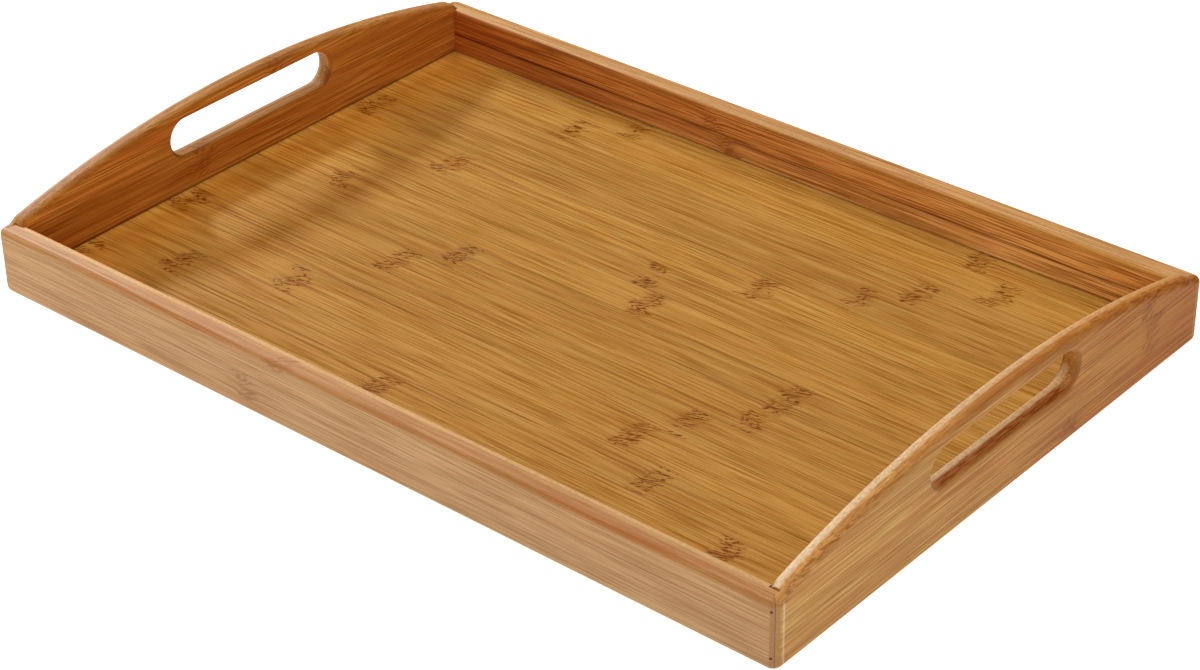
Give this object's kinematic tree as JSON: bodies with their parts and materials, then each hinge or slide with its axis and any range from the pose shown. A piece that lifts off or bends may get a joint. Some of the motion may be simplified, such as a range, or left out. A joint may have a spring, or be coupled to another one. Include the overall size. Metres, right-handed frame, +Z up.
{
  "type": "serving tray",
  "caption": "Rectangular bamboo serving tray with low side rails, arched end panels with hand slots and a floor of glued strips.",
  "frame": {"origin": "centre of the tray's underside, on the surface it stands on", "axes": "+X along the length towards the right end panel, -Y towards the front rail, +Z up"},
  "size_m": [0.5, 0.345, 0.06],
  "materials": {
    "bamboo_floor": "satin lacquer over carbonised bamboo strips, grain along the length",
    "bamboo_rail": "satin lacquer over bamboo strips, grain along the length",
    "bamboo_end_panel": "satin lacquer over bamboo strips, grain along the width",
    "brad_steel": "dull wire nail, set below the surface"
  },
  "bodies": {
    "root": {"front_rail_lower_strip": "bamboo_rail", "front_rail_upper_strip": "bamboo_rail", "back_rail_lower_strip": "bamboo_rail", "back_rail_upper_strip": "bamboo_rail", "left_end_panel_lower_strip": "bamboo_end_panel", "left_end_panel_middle_strip": "bamboo_end_panel", "left_end_panel_upper_strip": "bamboo_end_panel", "right_end_panel_lower_strip": "bamboo_end_panel", "right_end_panel_middle_strip": "bamboo_end_panel", "right_end_panel_upper_strip": "bamboo_end_panel", "floor_strip_01": "bamboo_floor", "floor_strip_02": "bamboo_floor", "floor_strip_03": "bamboo_floor", "floor_strip_04": "bamboo_floor", "floor_strip_05": "bamboo_floor", "floor_strip_06": "bamboo_floor", "floor_strip_07": "bamboo_floor", "floor_strip_08": "bamboo_floor", "floor_strip_09": "bamboo_floor", "floor_strip_10": "bamboo_floor", "floor_strip_11": "bamboo_floor", "floor_strip_12": "bamboo_floor", "floor_strip_13": "bamboo_floor", "floor_strip_14": "bamboo_floor", "corner_brads": "brad_steel"}
  },
  "joints": []
}
